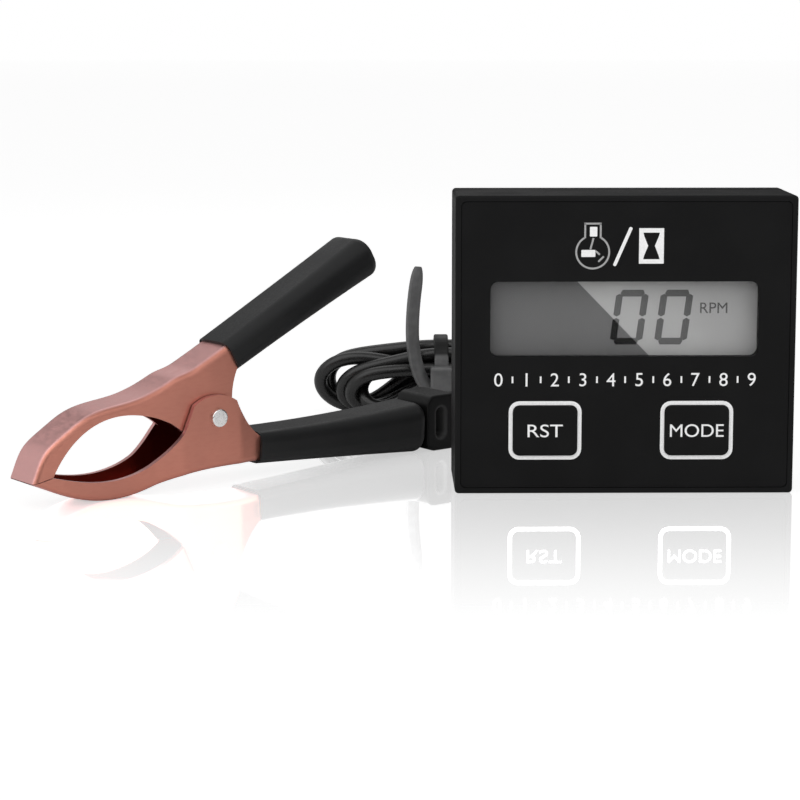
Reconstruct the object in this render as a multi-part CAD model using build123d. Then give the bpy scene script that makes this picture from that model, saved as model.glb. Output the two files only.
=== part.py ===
"""Small engine tachometer: a display meter in a black case, with a thin lead, tied in a hank, to a copper-plated
clip that goes on a spark plug lead.

Millimetres, +Z up. The case stands on its bottom face, and the origin is the centre of that face. The display looks
along -Y. The clip stands on its lower jaw, left of the case and turned to it, and its own frame has its origin at the
pivot, +X along the handles and +Z up. The moving pieces are the upper jaw with its sleeve and the two keys.
"""

import os
from math import asin, atan, cos, degrees, hypot, radians, sin, tan

from build123d import *

# Case
case_width = 51.0
case_height = 45.0
case_depth = 15.5
case_corner = 0.6  # radius of the corners, seen from the front
case_edge = 0.35  # radius of the front and back edges
case_wall = 1.6
front_wall = 1.8  # behind the printed panel
back_wall = 1.6
seam_depth = 11.0  # from the front to where the two shells meet
seam_bevel = 0.25

# Printed panel on the face
rim_width = 0.85
overlay_recess = 0.5
overlay_thickness = 0.4
overlay_gap = 0.08
recess_corner = 0.8

# Window and display
window_width = 39.9
window_height = 11.1
window_x = -0.2
window_z = 26.5
window_corner = 1.2
lens_gap = 0.1
lens_bevel = 0.3
lens_ledge = 0.8  # front wall left over the lens's flange
lens_flange_width = 1.3
lens_flange_thickness = 0.8
frame_side_room = 0.7  # between the display's frame and the case's side walls
frame_top_room = 8.3  # from the case's top to the frame, past the upper bosses
frame_key_room = 2.0  # between the frame and the keys' flanges
lcd_plate = 1.1  # one glass plate; the cell has two
lcd_contact_ledge = 2.3  # rear plate's setback, where the rubber connectors touch
frame_gap = 0.1
frame_wall = 1.1
frame_rib = 1.0
zebra_width = 1.8
zebra_rise = 4.1  # from the display's front plate to the board

# Keys
reset_x = -11.95
mode_x = 10.85
key_z = 9.65
key_width = 9.75
key_height = 7.7
key_corner = 1.1
key_gap = 0.15
key_proud = 0.3
key_edge = 0.35
key_flange = 0.8  # how far the flange reaches past the key
key_flange_thickness = 0.8
key_stop_gap = 0.1
key_stem_radius = 2.2
key_travel = 0.4
switch_size = 6.0
switch_height = 3.4
plunger_radius = 1.7
plunger_gap = 0.1
plunger_depth = 0.6  # how far the plunger reaches into the switch at rest

# Board and what it carries
board_thickness = 1.6
board_gap = 0.4
boss_radius = 2.6
boss_gap = 0.3
screw_radius = 1.1
screw_gap = 0.02
screw_hole_gap = 0.25
screw_head_radius = 1.9
screw_head_thickness = 1.2
screw_head_gap = 0.15
screw_sink = 0.1  # the head's top below the back face
screw_bite = 3.0
screw_bottom_gap = 0.4
screw_slot_width = 0.5
screw_slot_depth = 0.5
chip_size = 7.0
chip_thickness = 1.3
chip_x = -12.0
chip_z = 27.0
crystal_radius = 1.0
crystal_length = 6.2
crystal_z = 19.0
part_size = (1.6, 0.8, 0.6)  # one small resistor or capacitor: across, up and off the board
part_pitch = 2.4
part_count = 5
part_x = -19.5
part_z = 21.0
solder_gap = 0.05
cell_radius = 10.0
cell_thickness = 3.2
cell_bevel = 0.3
cell_x = 9.0
cell_z = 25.0
strap_width = 6.0
strap_thickness = 0.3
strap_foot = 1.6

# Gasket between the shells
gasket_thickness = 1.0
gasket_width = 0.8

# Cable gland on the back
gland_x = 16.0
gland_z = 9.0
gland_neck_radius = 2.3
gland_flange_radius = 3.1
gland_flange_thickness = 0.8
gland_collar_thickness = 1.3
gland_length = 10.5
gland_root_radius = 2.5
gland_tip_radius = 1.7
gland_groove = 0.4
gland_grooves = 4

# Lead
lead_diameter = 2.4
core_diameter = 2.0

# Clip: where its pivot is, and how far it is turned from the case's face
pivot_x = -64.3
pivot_y = 2.1
clip_turn = 37.8

# Clip: sheet metal
sheet = 0.8
clip_width = 7.6
fold_radius = 0.9  # outside the folds between the web and the sides
plan_radius = 4.0  # where the lower jaw's sides spread and come in again
jaw_reach = 60.0  # longer than either end of a jaw, for the blocks it is cut from
ear_gap = 0.15  # between the upper jaw's sides and the ears outside them
lip_gap = 0.12
ear_front = (-10.5, -6.6)  # the ears spread between these places, in front of the pivot
ear_rear = (4.4, 8.0)  # and come in again between these, behind it
ear_radius = 3.5
lip_front = (-31.5, -6.55)
lip_rear = (-28.2, -5.85)
crotch = (-5.9, -1.6)  # rear corner of the opening between the jaws

# Clip: upper jaw. Its web is the folded edge that shows from above
upper_web = [(-29.6, -2.5), (-26.2, 0.2), (-22.4, 2.4), (-17.6, 3.5), (-11.8, 4.6), (-5.0, 7.4)]
upper_bite = [(-26.3, -2.9), (-22.6, 0.3), (-19.0, 1.7), (-15.4, 1.95), (-12.4, 1.5), (-8.8, 0.3)]
upper_tip_turn = 64.0
upper_handle = (2.4, 10.7)
upper_handle_turn = 28.0
upper_handle_length = 26.5
upper_notch = (3.3, 3.9)
handle_depth = 4.0  # height of the folded sides under the sleeves

# Clip: lower jaw
lower_web = [(-27.8, -8.25), (-23.4, -9.85), (-18.0, -10.6), (-13.0, -10.05), (-8.0, -8.75), (-2.0, -7.95), (3.0, -7.8)]
lower_bite = [(-8.4, -4.1), (-11.2, -6.0), (-14.8, -7.25), (-19.2, -7.65), (-23.6, -7.1)]
lower_tip_turn = -22.0
lower_handle = (8.2, -7.95)
lower_handle_turn = -2.8
lower_handle_length = 28.0
lower_notch = (5.0, -0.6)
ear_top = (0.0, 3.5)
ear_shoulder = (-4.2, 2.3)
ear_heel = (3.5, 2.3)

# Clip: sleeves. Widths and heights at the front and at the rear end
sleeve_wall = 0.5
sleeve_gap = 0.05
sleeve_front_width = 8.8
sleeve_rear_width = 10.0
sleeve_rounds = (1.7, 2.1, 2.9)  # of its long edges, at the front, the middle and the rear
sleeve_flare = (0.0, 0.34, 1.0)  # how much of the widening is reached there
sleeve_rim = 1.5
upper_sleeve_overhang = 4.1  # past the handle's end
upper_sleeve_rear_height = 6.8
upper_sleeve_rear_drop = 0.4  # how far the rear end's middle lies below the handle's own line
lower_sleeve_overhang = 4.9
lower_sleeve_rear_height = 8.4

# Clip: rivet and spring
rivet_radius = 1.1
rivet_gap = 0.06
rivet_head_radius = 1.4
rivet_head_thickness = 0.7
rivet_head_edge = 0.25
spring_wire = 0.9
spring_radius = 2.1
spring_turns = 5
spring_side_gap = 0.25
spring_leg_length = 12.5
spring_seat_gap = 0.05

# Boot behind the lower sleeve, and what it holds
boot_gap = 0.25
boot_length = 7.2
boot_height = 9.3
boot_width = 8.4
boot_corner = 1.8
boot_edge = 0.4
boot_window = (1.6, 4.8)
boot_window_rim = 0.65
boot_window_from_front = 2.9
boot_neck_length = 6.0
boot_neck_radius = 2.3
boot_neck_tip = 1.6
crimp_width = 4.4
crimp_height = 3.0
crimp_length = 6.0
crimp_edge = 0.5
crimp_inset = 3.0  # from the handle's end

# Hank: (x, middle height, height, depth) of its sections from end to end
hank_y = 60.0
hank_sections = [
    (-48.4, 6.4, 5.0, 4.0),
    (-45.6, 6.6, 10.8, 9.0),
    (-38.0, 7.0, 11.8, 11.8),
    (-29.6, 8.5, 9.2, 9.4),
    (-23.2, 9.0, 9.4, 9.4),
    (-14.0, 8.0, 12.4, 11.4),
    (-5.0, 7.3, 12.0, 11.4),
]

# Tie round the hank
tie_x = -25.6
tie_height = 8.75
tie_width = 2.5
tie_thickness = 0.9
tie_gap = 0.1
tie_head = (4.0, 3.0, 4.2)
tie_head_drop = 1.3
tie_head_edge = 0.4
tail_width = 2.2
tail_thickness = 1.0
tail_twist = 35.0
tail_end_round = 0.45
tail_run = [(-27.2, 4.8), (-29.2, 7.0), (-30.3, 10.6), (-30.9, 14.8), (-30.7, 20.5), (-29.8, 27.5)]

# Lead routes, from the gland and from the boot to the hank's right end
case_first_run = 9.0
case_route = [
    (18.3, 38.0, 3.6),
    (19.6, 48.5, 1.5),
    (17.6, 58.0, 1.3),
    (9.5, 63.2, 1.5),
    (1.0, 62.6, 3.7),
    (-5.0, 62.6, 3.7),
]
clip_first_run = 9.0
clip_route = [
    (-3.2, 43.2, 1.6),
    (7.2, 42.4, 1.3),
    (12.4, 50.2, 1.3),
    (8.0, 58.0, 2.0),
    (-0.4, 58.6, 3.7),
    (-5.0, 58.6, 3.7),
]
bend_share = 0.45  # of the shorter run, taken by each bend

mid_z = case_height / 2
face_y = -case_depth / 2
back_y = case_depth / 2
inner_face = overlay_recess + front_wall
ledge_depth = overlay_recess + lens_ledge
overlay_front = overlay_recess - overlay_thickness
lcd_rear = inner_face + 2 * lcd_plate
board_front = inner_face + lcd_plate + zebra_rise
board_back = board_front + board_thickness
back_inner = case_depth - back_wall
frame_width = case_width - 2 * (case_wall + frame_side_room)
frame_bottom = key_z + key_height / 2 + key_flange + frame_key_room
frame_height = case_height - frame_top_room - frame_bottom
lcd_width = frame_width - 2 * (frame_gap + frame_wall)
lcd_height = frame_height - 2 * (frame_gap + frame_wall)
lcd_z = frame_bottom + frame_height / 2
boss_x = case_width / 2 - case_wall - boss_gap - boss_radius
boss_rise = case_height / 2 - case_wall - boss_gap - boss_radius
boss_places = [(side * boss_x, mid_z + up * boss_rise) for side in (-1, 1) for up in (-1, 1)]
key_places = {"reset": reset_x, "mode": mode_x}
screw_seat = case_depth - screw_sink - screw_head_thickness
switch_front = board_front - switch_height
key_flange_front = inner_face + key_stop_gap
key_flange_back = key_flange_front + key_flange_thickness
half_clip = clip_width / 2
half_ears = half_clip + ear_gap + sheet
upper_sleeve_length = upper_handle_length + upper_sleeve_overhang
lower_sleeve_length = lower_handle_length + lower_sleeve_overhang
gland_end = back_y + gland_collar_thickness + gland_length


def panel(width, height, front, back, x=0.0, z=mid_z, corner=0.0):
    """A block width by height from the front, between two depths behind the case's face."""
    plane = Plane(origin=(x, face_y + front, z), x_dir=(1, 0, 0), z_dir=(0, 1, 0))
    outline = RectangleRounded(width, height, corner) if corner else Rectangle(width, height)
    return extrude(plane * outline, amount=back - front)


def post(radius, front, back, x, z):
    """A round post between two depths behind the case's face."""
    plane = Plane(origin=(x, face_y + front, z), x_dir=(1, 0, 0), z_dir=(0, 1, 0))
    return extrude(plane * Circle(radius), amount=back - front)


def turned(profile, x, z, y=face_y):
    """A turned piece on an axis along Y: profile is a list of (depth, radius), closed along the axis."""
    points = [(0, profile[0][0]), *[(radius, depth) for depth, radius in profile], (0, profile[-1][0])]
    plane = Plane(origin=(x, y, z), x_dir=(1, 0, 0), z_dir=(0, 0, 1))
    face = make_face(Polyline(*points, close=True))
    return revolve(plane * face, axis=Axis((x, y, z), (0, 1, 0)))


def front_shell():
    shell = panel(case_width, case_height, 0, seam_depth, corner=case_corner)
    shell = fillet(shell.faces().sort_by(Axis.Y)[0].edges(), case_edge)
    shell = chamfer(shell.faces().sort_by(Axis.Y)[-1].edges(), seam_bevel)
    shell -= panel(
        case_width - 2 * rim_width, case_height - 2 * rim_width, -case_edge, overlay_recess, corner=recess_corner
    )
    shell -= panel(
        case_width - 2 * case_wall, case_height - 2 * case_wall, inner_face, seam_depth, corner=recess_corner
    )
    shell -= panel(
        case_width - 2 * case_wall + 2 * gasket_width,
        case_height - 2 * case_wall + 2 * gasket_width,
        seam_depth - gasket_thickness / 2,
        seam_depth,
        corner=recess_corner,
    )
    shell -= panel(
        window_width + 2 * lens_gap,
        window_height + 2 * lens_gap,
        overlay_recess,
        inner_face,
        window_x,
        window_z,
        window_corner,
    )
    shell -= panel(
        window_width + 2 * (lens_flange_width + lens_gap),
        window_height + 2 * (lens_flange_width + lens_gap),
        ledge_depth,
        inner_face,
        window_x,
        window_z,
        window_corner,
    )
    for x in key_places.values():
        shell -= panel(
            key_width + 2 * key_gap, key_height + 2 * key_gap, overlay_recess, inner_face, x, key_z, key_corner
        )
    for x, z in boss_places:
        shell += post(boss_radius, inner_face, board_front, x, z)
        shell -= post(
            screw_radius + screw_gap, board_front - screw_bite - screw_bottom_gap, board_front, x, z
        )
    return shell


def rear_shell():
    shell = panel(case_width, case_height, seam_depth, case_depth, corner=case_corner)
    shell = fillet(shell.faces().sort_by(Axis.Y)[-1].edges(), case_edge)
    shell = chamfer(shell.faces().sort_by(Axis.Y)[0].edges(), seam_bevel)
    shell -= panel(
        case_width - 2 * case_wall, case_height - 2 * case_wall, seam_depth, back_inner, corner=recess_corner
    )
    shell -= panel(
        case_width - 2 * case_wall + 2 * gasket_width,
        case_height - 2 * case_wall + 2 * gasket_width,
        seam_depth,
        seam_depth + gasket_thickness / 2,
        corner=recess_corner,
    )
    for x, z in boss_places:
        shell += post(boss_radius, board_back, back_inner, x, z)
        shell -= post(screw_radius + screw_hole_gap, board_back, case_depth, x, z)
        shell -= post(screw_head_radius + screw_head_gap, screw_seat, case_depth, x, z)
    return shell - post(gland_neck_radius, back_inner, case_depth, gland_x, gland_z)


def case_gasket():
    depths = (seam_depth - gasket_thickness / 2, seam_depth + gasket_thickness / 2)
    ring = panel(
        case_width - 2 * case_wall + 2 * gasket_width,
        case_height - 2 * case_wall + 2 * gasket_width,
        *depths,
        corner=recess_corner,
    )
    return ring - panel(
        case_width - 2 * case_wall, case_height - 2 * case_wall, *depths, corner=recess_corner
    )


def face_overlay():
    sheet_panel = panel(
        case_width - 2 * (rim_width + overlay_gap),
        case_height - 2 * (rim_width + overlay_gap),
        overlay_front,
        overlay_recess,
        corner=recess_corner,
    )
    sheet_panel -= panel(
        window_width + 2 * lens_gap,
        window_height + 2 * lens_gap,
        overlay_front,
        overlay_recess,
        window_x,
        window_z,
        window_corner,
    )
    for x in key_places.values():
        sheet_panel -= panel(
            key_width + 2 * key_gap, key_height + 2 * key_gap, overlay_front, overlay_recess, x, key_z, key_corner
        )
    return sheet_panel


def window_lens():
    lens = panel(window_width, window_height, overlay_front, ledge_depth, window_x, window_z, window_corner)
    lens = chamfer(lens.faces().sort_by(Axis.Y)[0].edges(), lens_bevel)
    return lens + panel(
        window_width + 2 * lens_flange_width,
        window_height + 2 * lens_flange_width,
        ledge_depth,
        ledge_depth + lens_flange_thickness,
        window_x,
        window_z,
        window_corner,
    )


def lcd_glass():
    front = panel(lcd_width, lcd_height, inner_face, inner_face + lcd_plate, window_x, lcd_z)
    rear = panel(
        lcd_width, lcd_height - 2 * lcd_contact_ledge, inner_face + lcd_plate, lcd_rear, window_x, lcd_z
    )
    return front + rear


def lcd_frame():
    frame = panel(
        lcd_width + 2 * (frame_gap + frame_wall),
        lcd_height + 2 * (frame_gap + frame_wall),
        inner_face,
        board_front,
        window_x,
        lcd_z,
    )
    frame -= panel(
        lcd_width + 2 * frame_gap, lcd_height + 2 * frame_gap, inner_face, board_front, window_x, lcd_z
    )
    for up in (-1, 1):
        rib_z = lcd_z + up * (lcd_height / 2 - lcd_contact_ledge - frame_rib / 2)
        frame += panel(
            lcd_width + 2 * (frame_gap + frame_wall), frame_rib, lcd_rear + frame_gap, board_front, window_x, rib_z
        )
    return frame


def zebra_strip(up):
    z = lcd_z + up * (lcd_height / 2 - zebra_width / 2 - frame_gap)
    return panel(lcd_width - 2 * frame_gap, zebra_width, inner_face + lcd_plate, board_front, window_x, z)


def circuit_board():
    board = panel(
        case_width - 2 * (case_wall + board_gap),
        case_height - 2 * (case_wall + board_gap),
        board_front,
        board_back,
        corner=recess_corner,
    )
    for x, z in boss_places:
        board -= post(screw_radius + screw_hole_gap, board_front, board_back, x, z)
    return board


def case_screws():
    screws = []
    for x, z in boss_places:
        screw = post(screw_radius, board_front - screw_bite, screw_seat, x, z)
        head = post(screw_head_radius, screw_seat, screw_seat + screw_head_thickness, x, z)
        head_back = screw_seat + screw_head_thickness
        for length, width in ((2, screw_slot_width), (screw_slot_width, 2)):
            head -= panel(length, width, head_back - screw_slot_depth, head_back, x, z)
        screws.append(screw + head)
    return Compound(children=screws)


def key(x):
    """A key: its cap in the face, the flange that holds it behind the wall, and its stem."""
    cap = panel(key_width, key_height, -key_proud, key_flange_front, x, key_z, key_corner)
    cap = fillet(cap.faces().sort_by(Axis.Y)[0].edges(), key_edge)
    flange = panel(
        key_width + 2 * key_flange,
        key_height + 2 * key_flange,
        key_flange_front,
        key_flange_back,
        x,
        key_z,
        key_corner,
    )
    return cap + flange + post(key_stem_radius, key_flange_back, switch_front - key_travel - key_stop_gap, x, key_z)


def plunger(x):
    front = switch_front - key_travel - key_stop_gap
    return post(plunger_radius, front, switch_front + plunger_depth, x, key_z)


def switch_body(x):
    body = panel(switch_size, switch_size, switch_front, board_front, x, key_z)
    hole_end = switch_front + plunger_depth + 2 * key_travel
    return body - post(plunger_radius + plunger_gap, switch_front, hole_end, x, key_z)


def control_chip():
    return panel(chip_size, chip_size, board_back, board_back + chip_thickness, chip_x, chip_z)


def crystal():
    middle = (chip_x, face_y + board_back + crystal_radius + solder_gap, crystal_z)
    return Pos(*middle) * Cylinder(crystal_radius, crystal_length, rotation=(0, 90, 0))


def chip_parts():
    across, up, off = part_size
    return Compound(
        children=[
            panel(across, up, board_back, board_back + off, part_x, part_z + i * part_pitch)
            for i in range(part_count)
        ]
    )


def coin_cell():
    front = board_back + solder_gap
    cell = post(cell_radius, front, front + cell_thickness, cell_x, cell_z)
    return chamfer(cell.faces().sort_by(Axis.Y)[0].edges(), cell_bevel)


def cell_strap():
    """A bent strip over the cell, with a foot on the board each side."""
    inner = cell_radius + solder_gap
    top = board_back + 2 * solder_gap + cell_thickness
    strap = panel(
        2 * (inner + strap_thickness), strap_width, board_back, top + strap_thickness, cell_x, cell_z
    )
    strap -= panel(2 * inner, strap_width, board_back, top, cell_x, cell_z)
    for side in (-1, 1):
        foot_x = cell_x + side * (inner + strap_thickness + strap_foot / 2)
        strap += panel(strap_foot, strap_width, board_back, board_back + strap_thickness, foot_x, cell_z)
    return strap


def cable_gland():
    """A ribbed, tapered strain relief snapped into the back wall."""
    flange_front = back_inner - gland_flange_thickness
    root = case_depth + gland_collar_thickness
    profile = [
        (flange_front, gland_flange_radius),
        (back_inner, gland_flange_radius),
        (back_inner, gland_neck_radius),
        (case_depth, gland_neck_radius),
        (case_depth, gland_flange_radius),
        (root, gland_flange_radius),
    ]
    step = gland_length / (2 * gland_grooves + 1)
    for i in range(2 * gland_grooves + 1):
        radius = gland_root_radius + (gland_tip_radius - gland_root_radius) * (i + 0.5) / (2 * gland_grooves + 1)
        radius -= gland_groove * (i % 2)
        profile += [(root + i * step, radius), (root + (i + 1) * step, radius)]
    return turned(profile, gland_x, gland_z)


def case_lead_tail():
    return post(core_diameter / 2, board_back, back_inner - gland_flange_thickness, gland_x, gland_z)


def at(point):
    """A point of the clip's side view, in the clip's frame."""
    return Vector(point[0], 0, point[1])


def along(start, turn, length, drop=0.0):
    """The point a length along a handle from start, and a drop below its web."""
    a = radians(turn)
    return (start[0] + length * cos(a) + drop * sin(a), start[1] + length * sin(a) - drop * cos(a))


def heading(turn):
    """A unit vector of the clip's side view."""
    return Vector(cos(radians(turn)), 0, sin(radians(turn)))


def lip(gap):
    """The line where the jaws meet, moved up or down by a gap, from the rear to the tip."""
    return (lip_rear[0], lip_rear[1] + gap), (lip_front[0], lip_front[1] + gap)


def web_line(tip, tip_turn, points, handle, handle_turn):
    """The outside of a jaw's web, from the tip to the start of its handle."""
    return Spline(
        *[at(p) for p in [tip, *points, handle]], tangents=[heading(tip_turn), heading(handle_turn)]
    )


def inside(line, depth, side, steps=16):
    """A curve at a depth inside another, on its right (1) or left (-1)."""
    points = []
    for i in range(steps + 1):
        tangent = line % (i / steps)
        points.append(line @ (i / steps) + Vector(tangent.Z, 0, -tangent.X) * depth * side)
    return Spline(*points, tangents=[line % 0, line % 1])


def smooth_web(web, handle_end):
    """A web, its handle and a straight run past both ends, as one smooth curve."""
    turn = (at(handle_end) - web @ 1).normalized()
    length = (at(handle_end) - web @ 1).length + clip_width
    before = [web @ 0 - (web % 0) * (clip_width * share) for share in (1, 0.6, 0.3, 0.1)]
    after = [web @ 1 + turn * (length * share) for share in (0.03, 0.1, 0.3, 0.6, 1)]
    return Spline(*before, *[web @ (i / 16) for i in range(17)], *after, tangents=[web % 0, turn])


def behind(line, side):
    """All that lies inside a line, which runs along the outside of a jaw."""
    start, end = line @ 0, line @ 1
    far = Polyline(end, at((end.X, -side * jaw_reach)), at((start.X, -side * jaw_reach)), start)
    return extrude(make_face([line, far]), amount=clip_width, both=True)


def runs_along(edge, line):
    """Whether an edge at the side of a jaw follows a line in its middle."""
    if abs((edge @ 0.5).Y) < half_clip / 2:
        return False
    return all(Vertex((edge @ i).X, 0, (edge @ i).Z).distance_to(line) < sheet / 10 for i in (0.1, 0.5, 0.9))


def channel(web, handle_end, outline, plan, side):
    """A folded channel: the outline's side view, as wide as the plan, with rounded folds, hollow inside its web."""
    line = smooth_web(web, handle_end)
    solid = behind(line, side) & plan(0)
    solid = fillet([edge for edge in solid.edges() if runs_along(edge, line)], fold_radius)
    solid -= behind(inside(line, sheet, side, 40), side) & plan(sheet)
    past_tip = outline[-1] @ 1 + (outline[-1] % 1) * half_clip
    past_end = outline[0] @ 0 - (outline[0] % 0) * half_clip
    far = [at((past_tip.X, side * jaw_reach)), at((past_end.X, side * jaw_reach))]
    profile = make_face([*outline, Polyline(outline[-1] @ 1, past_tip, *far, past_end, outline[0] @ 0)])
    return solid & extrude(profile, amount=clip_width, both=True)


def straight_plan(inset):
    """The upper jaw seen from above, in from its sides by an inset."""
    return Box(2 * jaw_reach, clip_width - 2 * inset, 2 * jaw_reach)


def eared_plan(inset):
    """The lower jaw seen from above: it spreads at the pivot so that its ears pass outside the upper jaw."""
    narrow, wide = half_clip - inset, half_ears - inset
    edge = [
        (-jaw_reach, narrow),
        (ear_front[0], narrow),
        (ear_front[1], wide),
        (ear_rear[0], wide),
        (ear_rear[1], narrow),
        (jaw_reach, narrow),
    ]
    outline = make_face(Polyline(*edge, *[(x, -y) for x, y in reversed(edge)], close=True))
    bends = [corner for corner in outline.vertices() if abs(corner.X) < jaw_reach / 2]
    return extrude(fillet(bends, plan_radius), amount=jaw_reach, both=True)


def bore(radius):
    return Cylinder(radius, 4 * half_ears, rotation=(90, 0, 0))


def upper_jaw():
    end = along(upper_handle, upper_handle_turn, upper_handle_length)
    end_under = along(upper_handle, upper_handle_turn, upper_handle_length, handle_depth)
    corner = along(upper_handle, upper_handle_turn, 0, handle_depth)
    back, front = lip(lip_gap / 2)
    web = web_line(front, upper_tip_turn, upper_web, upper_handle, upper_handle_turn)
    rear_ear = at((ear_radius * cos(radians(20)), ear_radius * sin(radians(20))))
    front_ear = at((ear_radius * cos(radians(205)), ear_radius * sin(radians(205))))
    outline = [
        Line(at(end), at(end_under)),
        Line(at(end_under), at(corner)),
        ThreePointArc(at(corner), at(upper_notch), rear_ear),
        ThreePointArc(rear_ear, at((0, -ear_radius)), front_ear),
        Line(front_ear, at(crotch)),
        Spline(*[at(p) for p in [crotch, *reversed(upper_bite), back]]),
        Line(at(back), at(front)),
    ]
    jaw = channel(web, end, outline, straight_plan, 1)
    return clip_frame.location * (jaw - bore(rivet_radius + rivet_gap))


def lower_jaw():
    end = along(lower_handle, lower_handle_turn, lower_handle_length)
    end_over = along(lower_handle, lower_handle_turn, lower_handle_length, -handle_depth)
    corner = along(lower_handle, lower_handle_turn, 0, -handle_depth)
    back, front = lip(-lip_gap / 2)
    outline = [
        Line(at(end), at(end_over)),
        Line(at(end_over), at(corner)),
        ThreePointArc(at(corner), at(lower_notch), at(ear_heel)),
        ThreePointArc(at(ear_heel), at(ear_top), at(ear_shoulder)),
        Line(at(ear_shoulder), at(crotch)),
        Spline(*[at(p) for p in [crotch, *lower_bite, back]]),
        Line(at(back), at(front)),
    ]
    jaw = channel(belly, end, outline, eared_plan, -1)
    return clip_frame.location * (jaw - bore(rivet_radius + screw_gap))


def pivot_rivet():
    rivet = Cylinder(rivet_radius, 2 * half_ears, rotation=(90, 0, 0))
    for side in (-1, 1):
        head = Cylinder(rivet_head_radius, rivet_head_thickness, rotation=(90, 0, 0))
        head = Pos(0, side * (half_ears + rivet_head_thickness / 2), 0) * head
        outer_face = head.faces().sort_by(Axis.Y)[0 if side < 0 else -1]
        rivet += fillet(outer_face.edges(), rivet_head_edge)
    return clip_frame.location * rivet


def leg_turn(handle, turn, up):
    """The angle of a spring leg that leaves the coil on a tangent and ends against a handle's web."""
    a = radians(turn)
    web_distance = up * (handle[1] * cos(a) - handle[0] * sin(a)) - sheet - spring_wire / 2 - spring_seat_gap
    reach = hypot(spring_radius, spring_leg_length)
    return turn + up * degrees(asin(web_distance / reach) - atan(spring_radius / spring_leg_length))


def torsion_spring():
    """A close-wound coil round the rivet, with a leg against each handle."""
    half_length = half_clip - sheet - spring_side_gap
    pitch = 2 * half_length / spring_turns
    inner, outer = spring_radius - spring_wire / 2, spring_radius + spring_wire / 2
    edges = []
    for i in range(spring_turns):
        y = -half_length + i * pitch
        edges.append(
            ThreePointArc((spring_radius, y, 0), (outer, y + pitch / 2, 0), (spring_radius, y + pitch, 0))
        )
    edges += [
        Line((spring_radius, half_length, 0), (inner, half_length, 0)),
        Line((inner, half_length, 0), (inner, -half_length, 0)),
        Line((inner, -half_length, 0), (spring_radius, -half_length, 0)),
    ]
    spring = revolve(make_face(edges), axis=Axis.Y)
    legs = ((upper_handle, upper_handle_turn, -1, 1), (lower_handle, lower_handle_turn, 1, -1))
    for handle, turn, side, up in legs:
        a = radians(leg_turn(handle, turn, up))
        start = Vector(-up * spring_radius * sin(a), side * (half_length - pitch / 2), up * spring_radius * cos(a))
        leg = Plane(origin=start, z_dir=(cos(a), 0, sin(a))) * Circle(spring_wire / 2)
        spring += extrude(leg, amount=spring_leg_length)
    return clip_frame.location * spring


def handle_frame(start, turn):
    """A frame with +X along a handle and its origin on the web's outside, where the sleeve starts."""
    a = radians(turn)
    return Plane(origin=at(start), x_dir=(cos(a), 0, sin(a)), z_dir=(-sin(a), 0, cos(a)))


def sleeve(frame, over, length, rear_height, rear_middle, cavity_length):
    """A vinyl sleeve on a handle, wider and deeper at its rear end. over is 1 where the web is above, -1 below."""
    front_middle = -over * handle_depth / 2
    front_height = handle_depth + 2 * sleeve_wall
    sections = []
    for place, share, corner in zip((0, 0.5, 1), sleeve_flare, sleeve_rounds):
        width = sleeve_front_width + share * (sleeve_rear_width - sleeve_front_width)
        height = front_height + share * (rear_height - front_height)
        middle = front_middle + share * (rear_middle - front_middle)
        plane = Plane(origin=(place * length, 0, middle), x_dir=(0, 1, 0), z_dir=(1, 0, 0))
        sections.append(plane * RectangleRounded(width, height, corner))
    body = loft(sections)
    body = fillet(body.faces().sort_by(Axis.X)[-1].edges(), sleeve_rim)
    cavity = Box(
        cavity_length,
        clip_width + 2 * sleeve_gap,
        handle_depth + 2 * sleeve_gap,
        align=(Align.MIN, Align.CENTER, Align.CENTER),
    )
    return clip_frame.location * frame.location * (body - Pos(0, 0, front_middle) * cavity)


def upper_sleeve():
    frame = handle_frame(upper_handle, upper_handle_turn)
    rear_middle = -handle_depth / 2 - upper_sleeve_rear_drop
    cavity = upper_handle_length + sleeve_wall
    return sleeve(frame, 1, upper_sleeve_length, upper_sleeve_rear_height, rear_middle, cavity)


def sleeve_floor():
    """The ground under the lower sleeve's rear end, in the lower handle's frame."""
    a = radians(lower_handle_turn)
    return (-pivot_height - lower_handle[1] - lower_sleeve_length * sin(a)) / cos(a)


def lower_sleeve():
    """The sleeve that the clip also stands on, at its rear end."""
    frame = handle_frame(lower_handle, lower_handle_turn)
    rear_middle = sleeve_floor() + lower_sleeve_rear_height / 2
    cavity = lower_handle_length + sleeve_wall
    solid = sleeve(frame, -1, lower_sleeve_length, lower_sleeve_rear_height, rear_middle, cavity)
    return solid - clip_frame.location * frame.location * core(core_diameter / 2 + sleeve_gap, lower_handle_length)


def core(radius, front):
    """The lead's core in the lower handle's frame, from a place on the handle to the boot."""
    length = lower_sleeve_length + boot_gap / 4 - front
    return Pos(front + length / 2, 0, handle_depth / 2) * Cylinder(radius, length, rotation=(0, 90, 0))


def clip_lead_tail():
    frame = handle_frame(lower_handle, lower_handle_turn)
    return clip_frame.location * frame.location * core(core_diameter / 2, crimp_front)


def lead_crimp():
    """A folded ferrule that holds the lead's core down on the lower handle's web."""
    barrel = Pos(crimp_front + crimp_length / 2, 0, sheet + crimp_height / 2) * Box(
        crimp_length, crimp_width, crimp_height
    )
    top = barrel.faces().sort_by(Axis.Z)[-1]
    barrel = fillet(top.edges().filter_by(Axis.X), crimp_edge)
    frame = handle_frame(lower_handle, lower_handle_turn)
    return clip_frame.location * frame.location * (barrel - core(core_diameter / 2, crimp_front))


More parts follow.
